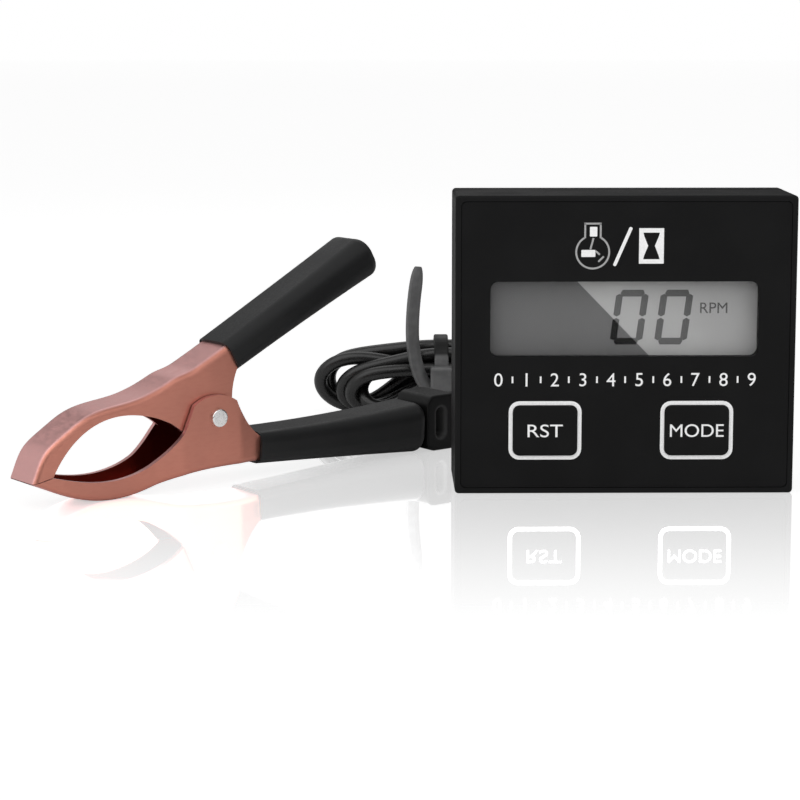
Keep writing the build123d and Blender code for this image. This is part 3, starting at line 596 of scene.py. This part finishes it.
def add_piece(name, shape, material, body):
    """Makes an object from a bmesh, a mesh or a curve that is in place, and rides it on a body, if any."""
    if isinstance(shape, bmesh.types.BMesh):
        mesh = bpy.data.meshes.new(name)
        shape.to_mesh(mesh)
        shape.free()
        shape = mesh
    piece = bpy.data.objects.new(name, shape)
    bpy.context.collection.objects.link(piece)
    shape.materials.clear()
    shape.materials.append(material)
    if body:
        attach(piece, body)
    return piece


def curve_mesh(curve):
    """The mesh that a curve or a text makes."""
    maker = bpy.data.objects.new("maker", curve)
    bpy.context.collection.objects.link(maker)
    mesh = bpy.data.meshes.new_from_object(maker.evaluated_get(bpy.context.evaluated_depsgraph_get()))
    bpy.data.objects.remove(maker)
    return mesh


def nurbs(name, points, tilt=0.0):
    """A smooth open curve with listed control points, in millimetres."""
    curve = bpy.data.curves.new(name, "CURVE")
    curve.dimensions = "3D"
    spline = curve.splines.new("NURBS")
    spline.points.add(len(points) - 1)
    for control, point in zip(spline.points, points):
        control.co = (*(Vector(point) * MM), 1)
        control.tilt = tilt
    spline.order_u = 3
    spline.use_endpoint_u = True
    spline.resolution_u = CURVE_STEPS
    return curve


def fold_points(fold, side):
    """One fold of the hank, from its low strand to its high one. side is -1 at the left, 1 at the right."""
    end, middle, top, low_reach, high_reach, low_y, high_y = fold
    points = []
    for i in range(FOLD_STEPS + 1):
        angle = pi * (i / FOLD_STEPS - 0.5)
        reach, rise = (high_reach, top - middle) if angle > 0 else (low_reach, middle - FOLD_BOTTOM)
        y = TIE_AT[1] + low_y + (high_y - low_y) * (1 + sin(angle)) / 2
        points.append(Vector((end - side * reach * (1 - cos(angle)), y, middle + rise * sin(angle))))
    return points


def strand_points(place, heading):
    """The part of a strand that passes through the tie. heading is -1 to the left and 1 to the right."""
    y, z = place
    middle = Vector((TIE_AT[0], TIE_AT[1] + y, TIE_AT[2] + z))
    return [middle + Vector((heading * step * PINCH, 0, 0)) for step in (-1, 0, 1)]


def settled(points):
    """The hank's turns as limp lead lies: points that are near each other, each drawn to its neighbours."""
    close = []
    for first, second in zip(points, points[1:]):
        steps = ceil((second - first).length / LEG)
        close += [first + (second - first) * (i / steps) for i in range(steps)]
    for i in range(SMOOTHINGS):
        inner = [(a + b * 2 + c) / 4 for a, b, c in zip(close, close[1:], close[2:])]
        close = [close[0]] + inner + [points[-1]]
    return close


def hank_points():
    """The lead's folded turns, from the low strand that comes in to the high strand that leaves."""
    points = []
    for i, (left, low, high) in enumerate(zip(LEFT_FOLDS, LOW_STRANDS, HIGH_STRANDS)):
        points += strand_points(low, -1)
        points += fold_points(left, -1)
        points += strand_points(high, 1)
        if i < len(RIGHT_FOLDS):
            points += reversed(fold_points(RIGHT_FOLDS[i], 1))
    return settled(points)


def add_lead():
    """The whole lead, from the gland through the hank to the boot. The two routes keep their own points."""
    curve = nurbs("lead", CASE_ROUTE + hank_points() + CLIP_ROUTE)
    curve.bevel_depth = LEAD_DIAMETER / 2 * MM
    curve.bevel_resolution = LEAD_BEVEL_STEPS
    curve.use_fill_caps = True
    lead = add_piece("lead", curve, MATERIALS["lead"], "meter_and_clip")
    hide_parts("lead_to_case", "lead_hank", "lead_to_clip")


def rounded_plate(shape, width, height, corner, at=(0, 0), turn=0.0, segments=5):
    """Adds a flat rectangle with round corners in the XY plane and returns its face."""
    size = Matrix.Diagonal((width, height, 1, 1))
    place = Matrix.Translation((*at, 0)) @ Matrix.Rotation(turn, 4, "Z") @ size
    new = bmesh.ops.create_grid(shape, x_segments=1, y_segments=1, size=0.5, matrix=place)["verts"]
    face = new[0].link_faces[0]
    if corner:
        bmesh.ops.bevel(
            shape,
            geom=new,
            offset=corner,
            segments=segments,
            profile=0.5,
            affect="VERTICES",
            material=-1,
        )
        face = max(shape.faces, key=lambda f: f.index if f.index >= 0 else inf)
    return face


def hollow(shape, face, stroke):
    """Leaves only a border of a face."""
    bmesh.ops.inset_individual(shape, faces=[face], thickness=stroke, use_even_offset=True)
    bmesh.ops.delete(shape, geom=[face], context="FACES")


def bar(shape, start, end, width, corner=0.0):
    """Adds a straight stroke between two points."""
    run = (end[0] - start[0], end[1] - start[1])
    middle = ((start[0] + end[0]) / 2, (start[1] + end[1]) / 2)
    return rounded_plate(shape, hypot(*run), width, corner, middle, atan2(run[1], run[0]), 3)


def print_on(shape, surface, thickness=INK):
    """Thickens a flat drawing in millimetres, turns it upright and sets it on a surface that faces -Y."""
    bmesh.ops.recalc_face_normals(shape, faces=shape.faces)
    for face in shape.faces:
        if face.normal.z < 0:
            face.normal_flip()
    new = bmesh.ops.extrude_face_region(shape, geom=shape.faces[:])["geom"]
    top = [part for part in new if isinstance(part, bmesh.types.BMVert)]
    bmesh.ops.translate(shape, verts=top, vec=(0, 0, thickness))
    bmesh.ops.recalc_face_normals(shape, faces=shape.faces)
    upright = Matrix.Scale(MM, 4) @ Matrix.Translation((0, surface, 0)) @ Matrix.Rotation(pi / 2, 4, "X")
    bmesh.ops.transform(shape, matrix=upright, verts=shape.verts)
    return shape


def front_of(node):
    """The y of a node's front face, in millimetres."""
    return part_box(node)[0][1] / MM


def middle_of(node):
    """The middle of a node seen from the front, in millimetres."""
    low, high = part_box(node)
    return (low[0] + high[0]) / 2 / MM, (low[2] + high[2]) / 2 / MM


def words(text, height, middle, width=None):
    """Flat lettering of a height round its middle, in millimetres, stretched to a width if one is given."""
    curve = bpy.data.curves.new(text, "FONT")
    curve.body = text
    shape = bmesh.new()
    shape.from_mesh(curve_mesh(curve))
    low = Vector([min(v.co[i] for v in shape.verts) for i in range(3)])
    high = Vector([max(v.co[i] for v in shape.verts) for i in range(3)])
    size = high - low
    bmesh.ops.translate(shape, verts=shape.verts, vec=-(low + high) / 2)
    tall = height / size.y
    bmesh.ops.scale(shape, verts=shape.verts, vec=(width / size.x if width else tall, tall, 1))
    bmesh.ops.translate(shape, verts=shape.verts, vec=(*middle, 0))
    return shape


def join(shapes):
    """Puts several bmeshes into one."""
    whole = bmesh.new()
    for shape in shapes:
        mesh = bpy.data.meshes.new("part")
        shape.to_mesh(mesh)
        shape.free()
        whole.from_mesh(mesh)
        bpy.data.meshes.remove(mesh)
    return whole


def add_key_print():
    """The outline round each key, on the overlay, and the word on each key."""
    width, height, corner, stroke = KEY_OUTLINE
    for key, (text, length) in KEY_LABELS.items():
        node = f"{key}_key"
        outline = bmesh.new()
        hollow(outline, rounded_plate(outline, width, height, corner, middle_of(node)), stroke)
        print_on(outline, front_of("face_overlay"))
        add_piece(f"{key}_outline", outline, MATERIALS["white"], "meter_and_clip")
        label = print_on(words(text, LABEL_HEIGHT, middle_of(node), length), front_of(node))
        add_piece(f"{key}_label", label, MATERIALS["white"], node)


def engine_lines():
    """A crankcase seen from the side, in outline, with its rod and the marks of its turning crank."""
    icon = bmesh.new()
    x, z = ENGINE_MIDDLE
    half, top = ENGINE_NECK[0] / 2, z + ENGINE_NECK[1]
    radius = ENGINE_RADIUS + THIN_STROKE / 2
    case = bmesh.ops.create_circle(icon, cap_ends=True, segments=ENGINE_SIDES, radius=radius)
    bmesh.ops.translate(icon, verts=case["verts"], vec=(x, z, 0))
    hollow(icon, icon.faces[:][0], THIN_STROKE)
    middles = {face: face.calc_center_median() for face in icon.faces}
    mouth = [face for face, middle in middles.items() if abs(middle.x - x) < half and middle.y > z]
    bmesh.ops.delete(icon, geom=mouth, context="FACES")
    shoulder = z + (ENGINE_RADIUS**2 - half**2) ** 0.5
    for side in (-1, 1):
        bar(icon, (x + side * half, shoulder - STROKE_OVERLAP), (x + side * half, top), THIN_STROKE)
    bar(icon, (x - half - THIN_STROKE / 2, top), (x + half + THIN_STROKE / 2, top), THIN_STROKE)
    for (start_x, start_z), (end_x, end_z) in ENGINE_STROKES:
        bar(icon, (x + start_x, z + start_z), (x + end_x, z + end_z), THIN_STROKE)
    return icon


def engine_solids():
    """The piston and the crank."""
    icon = bmesh.new()
    x, z = ENGINE_MIDDLE
    for size, (side, rise) in ENGINE_BLOCKS:
        rounded_plate(icon, *size, BLOCK_CORNER, (x + side, z + rise))
    return icon


def hourglass_icon():
    """A white frame round a dark hourglass: the frame's top and bottom, and a waisted piece on each side."""
    icon = bmesh.new()
    x, z = GLASS_MIDDLE
    width, height = GLASS_FRAME
    side_border, end_border = GLASS_BORDER
    for end in (-1, 1):
        rounded_plate(icon, width, end_border, 0, (x, z + end * (height - end_border) / 2))
    for side in (-1, 1):
        strip = bmesh.new()
        bmesh.ops.create_grid(strip, x_segments=1, y_segments=GLASS_STEPS, size=0.5)
        for vert in strip.verts:
            up = vert.co.y * 2
            inner = (vert.co.x > 0) == (side < 0)
            deepest = width / 2 - side_border - GLASS_WAIST / 2
            reach = side_border + deepest * max(0, 1 - abs(up) * GLASS_TAPER)
            vert.co.x = side * (width / 2 - (reach if inner else 0))
            vert.co.y = up * (height / 2 - end_border)
        bmesh.ops.translate(strip, verts=strip.verts, vec=(x, z, 0))
        icon = join([icon, strip])
    return icon


def add_icons():
    """The two pictograms above the window, and the slash between them."""
    slash = bmesh.new()
    bar(slash, *SLASH, SLASH_STROKE, SLASH_CORNER)
    for name, shape, color in (
        ("engine_outline", engine_lines(), "grey"),
        ("engine_solids", engine_solids(), "white"),
        ("icon_slash", slash, "white"),
        ("hourglass_icon", hourglass_icon(), "white"),
    ):
        icon = print_on(shape, front_of("face_overlay"))
        add_piece(name, icon, MATERIALS[color], "meter_and_clip")


def add_scale():
    """A row of plain numbers with ticks between them, under the window."""
    half, z = SCALE_ROW
    step = 2 * half / SCALE_TOP
    shapes = []
    for i in range(SCALE_TOP + 1):
        shapes.append(words(str(i), SCALE_HEIGHT, (-half + i * step, z)))
        if i < SCALE_TOP:
            tick = bmesh.new()
            x = -half + (i + 0.5) * step
            bar(tick, (x, z - TICK_HEIGHT / 2), (x, z + TICK_HEIGHT / 2), TICK_STROKE)
            shapes.append(tick)
    row = print_on(join(shapes), front_of("face_overlay"))
    add_piece("scale_numbers", row, MATERIALS["white"], "meter_and_clip")


def segment(shape, start, end):
    """One bar of a figure, with pointed ends: a hexagon that is pulled apart."""
    run = Vector(end) - Vector(start)
    radius = FIGURE_STROKE / 2 / cos(radians(30))
    verts = bmesh.ops.create_circle(shape, cap_ends=True, segments=6, radius=radius)["verts"]
    stretch = run.length / 2 - radius - FIGURE_GAP
    bmesh.ops.rotate(shape, verts=verts, matrix=Matrix.Rotation(radians(30), 3, "Z"))
    for vert in verts:
        vert.co.x += stretch if vert.co.x > 0 else -stretch
    turn = Matrix.Rotation(atan2(run.y, run.x), 4, "Z")
    middle = (Vector(start) + Vector(end)) / 2
    bmesh.ops.transform(shape, matrix=Matrix.Translation((*middle, 0)) @ turn, verts=verts)


def add_figures():
    """Two slanted noughts on the display, and the unit beside them."""
    shapes = []
    right = FIGURE_WIDTH / 2 - FIGURE_STROKE / 2
    top = FIGURE_HEIGHT / 2 - FIGURE_STROKE / 2
    left_side = [(-right, 0), (-right, top)]
    outline = left_side + [(right, top), (right, 0), (right, -top), (-right, -top), (-right, 0)]
    for x, z in FIGURE_PLACES:
        for start, end in zip(outline, outline[1:]):
            shape = bmesh.new()
            segment(shape, start, end)
            slant = Matrix.Identity(4)
            slant[0][1] = FIGURE_SLANT
            bmesh.ops.transform(shape, matrix=Matrix.Translation((x, z, 0)) @ slant, verts=shape.verts)
            shapes.append(shape)
    shapes.append(words(*DISPLAY_UNIT))
    figures = print_on(join(shapes), front_of("lcd_glass"), FIGURE_INK)
    add_piece("display_figures", figures, MATERIALS["figures"], "meter_and_clip")


def tie_band():
    """The tie's band: a section with round corners, spun round the hank."""
    band = bmesh.new()
    rounded_plate(band, TIE_WIDTH, TIE_THICKNESS, BAND_CORNER, segments=2)
    away = Matrix.Translation((0, TIE_RADIUS + TIE_THICKNESS / 2, 0))
    bmesh.ops.transform(band, matrix=away, verts=band.verts)
    bmesh.ops.spin(
        band,
        geom=band.faces[:] + band.edges[:] + band.verts[:],
        cent=(0, 0, 0),
        axis=(1, 0, 0),
        dvec=(0, 0, 0),
        angle=2 * pi,
        steps=BAND_STEPS,
        use_merge=True,
        use_duplicate=False,
    )
    bmesh.ops.translate(band, verts=band.verts, vec=TIE_AT)
    return band


def tie_head():
    """The tie's ratchet head, in front of the band."""
    head = bmesh.new()
    bmesh.ops.create_cube(head, size=1, matrix=Matrix.Diagonal((*TIE_HEAD, 1)))
    bmesh.ops.bevel(
        head,
        geom=head.edges[:],
        offset=TIE_HEAD_CORNER,
        segments=TIE_HEAD_STEPS,
        profile=0.5,
        affect="EDGES",
        material=-1,
    )
    bmesh.ops.translate(head, verts=head.verts, vec=(TIE_AT[0], TIE_HEAD_Y, TIE_AT[2] - TIE_HEAD_DROP))
    return head


def tie_tail():
    """The long tail that was never cut: a flat strap along a curve, with a tapered end."""
    run = [Vector((x, TIE_HEAD_Y, z)) for x, z in TAIL_RUN]
    run.insert(-1, run[-1] + (run[-2] - run[-1]).normalized() * TAIL_POINT[0])
    strap = nurbs("tail", run, radians(TAIL_TWIST))
    strap.splines[0].points[-1].radius = TAIL_POINT[1]
    strap.bevel_mode = "OBJECT"
    section = bpy.data.curves.new("section", "CURVE")
    ring = section.splines.new("POLY")
    width, thickness = TAIL_SIZE[0] / 2 * MM, TAIL_SIZE[1] / 2 * MM
    ring.points.add(3)
    for point, (x, y) in zip(ring.points, ((-1, -1), (1, -1), (1, 1), (-1, 1))):
        point.co = (x * thickness, y * width, 0, 1)
    ring.use_cyclic_u = True
    holder = bpy.data.objects.new("section", section)
    strap.bevel_object = holder
    strap.use_fill_caps = True
    tail = bmesh.new()
    tail.from_mesh(curve_mesh(strap))
    bpy.data.objects.remove(holder)
    bmesh.ops.scale(tail, verts=tail.verts, vec=(1 / MM,) * 3)
    return tail


def add_tie():
    """The nylon tie round the hank."""
    tie = join([tie_band(), tie_head(), tie_tail()])
    bmesh.ops.remove_doubles(tie, verts=tie.verts, dist=WELD)
    bmesh.ops.recalc_face_normals(tie, faces=tie.faces)
    bmesh.ops.scale(tie, verts=tie.verts, vec=(MM,) * 3)
    piece = add_piece("cable_tie_nylon", tie, MATERIALS["nylon"], "meter_and_clip")
    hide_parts("cable_tie")


def add_spring():
    """The torsion spring: a copy of its CAD node with its loose points merged, on no body."""
    wire = bmesh.new()
    wire.from_mesh(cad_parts["torsion_spring"].data)
    bmesh.ops.remove_doubles(wire, verts=wire.verts, dist=WELD * MM)
    spring = add_piece("spring_wire", wire, MATERIALS["steel"], None)
    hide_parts("torsion_spring")
    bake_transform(spring)


def floor_material():
    """A white table that takes a faint shadow and mirrors what stands on it, less towards the front."""
    finish = Finish("white_table", (0.86, 0.86, 0.86), 0.6, Specular_IOR_Level=0.0)
    x, y, z = finish.axes()
    brighter = 1 / ROOM_LOW
    white = finish.node("Emission", {}, {"Color": (1, 1, 1, 1), "Strength": TABLE_WHITE})
    glossy = {"Color": (brighter, brighter, brighter, 1), "Roughness": MIRROR_BLUR}
    mirror = finish.node("BsdfGlossy", {}, glossy)
    share = finish.between(y, *MIRROR_RUN, 0.0, MIRROR)
    lit = Signal(finish, finish.shader.outputs[0])
    plain = finish.node("MixShader", {}, {0: TABLE_SHADE, 1: white, 2: lit})
    shown = finish.node("MixShader", {}, {0: share, 1: plain, 2: mirror})
    seen = finish.node("LightPath", {}, {}, "Is Camera Ray")
    both = finish.node("MixShader", {}, {0: seen, 1: lit, 2: shown})
    finish.plug(finish.tree.nodes["Material Output"].inputs["Surface"], both)
    return finish.material


def add_floor():
    """The table that everything stands on, which isn't part of the object."""
    shape = bmesh.new()
    bmesh.ops.create_grid(shape, x_segments=1, y_segments=1, size=TABLE_REACH)
    mesh = bpy.data.meshes.new("table")
    shape.to_mesh(mesh)
    shape.free()
    mesh.materials.append(floor_material())
    table = bpy.data.objects.new("table", mesh)
    bpy.context.collection.objects.link(table)


def add_world():
    """White behind everything, and even light. Reflections see a dim room, brighter overhead and left."""
    world = bpy.data.worlds.new("studio")
    bpy.context.scene.world = world
    world.use_nodes = True
    graph = Graph(world.node_tree)
    back = graph.tree.nodes["Background"]
    x, y, z = graph.parts(graph.node("TexCoord", {}, {}, "Generated"))
    seen = graph.node("LightPath", {}, {}, "Is Camera Ray")
    through = graph.node("LightPath", {}, {}, "Is Transmission Ray")
    mirrored = graph.node("LightPath", {}, {}, "Is Glossy Ray")
    overhead = graph.between(z, *ROOM_RISE, ROOM_LOW, ROOM_HIGH)
    left = graph.between(x, *ROOM_LEFT, ROOM_SIDE, ROOM_LOW)
    room = graph.node("Math", {"operation": "MAXIMUM"}, {0: overhead, 1: left})
    plain = 1 - (seen + through + mirrored)
    graph.plug(back.inputs["Strength"], seen + through + mirrored * room + plain * ROOM_LIGHT)
    graph.plug(back.inputs["Color"], (1, 1, 1, 1))


def add_lamp(name, at, size, power):
    """A square soft lamp that is turned to the object."""
    data = bpy.data.lights.new(name, "AREA")
    data.size = size * MM
    data.energy = power
    lamp = bpy.data.objects.new(name, data)
    lamp.location = Vector(at) * MM
    lamp.rotation_euler = (Vector(LAMP_TARGET) - Vector(at)).to_track_quat("-Z", "Y").to_euler()
    bpy.context.collection.objects.link(lamp)


def add_camera():
    """The photograph's view: from the front, a little left of the case and above it."""
    data = bpy.data.cameras.new("camera")
    data.lens = LENS
    data.sensor_width = SENSOR
    data.shift_y = SHIFT_Y
    data.clip_start = NEAREST_SEEN * MM
    camera = bpy.data.objects.new("camera", data)
    camera.location = Vector(CAMERA_AT) * MM
    camera.rotation_euler = (radians(90 + CAMERA_PITCH), 0, radians(CAMERA_TURN))
    bpy.context.collection.objects.link(camera)
    bpy.context.scene.camera = camera


add_camera()
for node, finish_name in NODE_MATERIALS.items():
    dress(node, MATERIALS[finish_name])
add_lead()
add_tie()
add_spring()
add_key_print()
add_icons()
add_scale()
add_figures()
add_floor()
add_world()
for name, lamp in LAMPS.items():
    add_lamp(name, *lamp)
bpy.context.scene.view_settings.view_transform = "Standard"
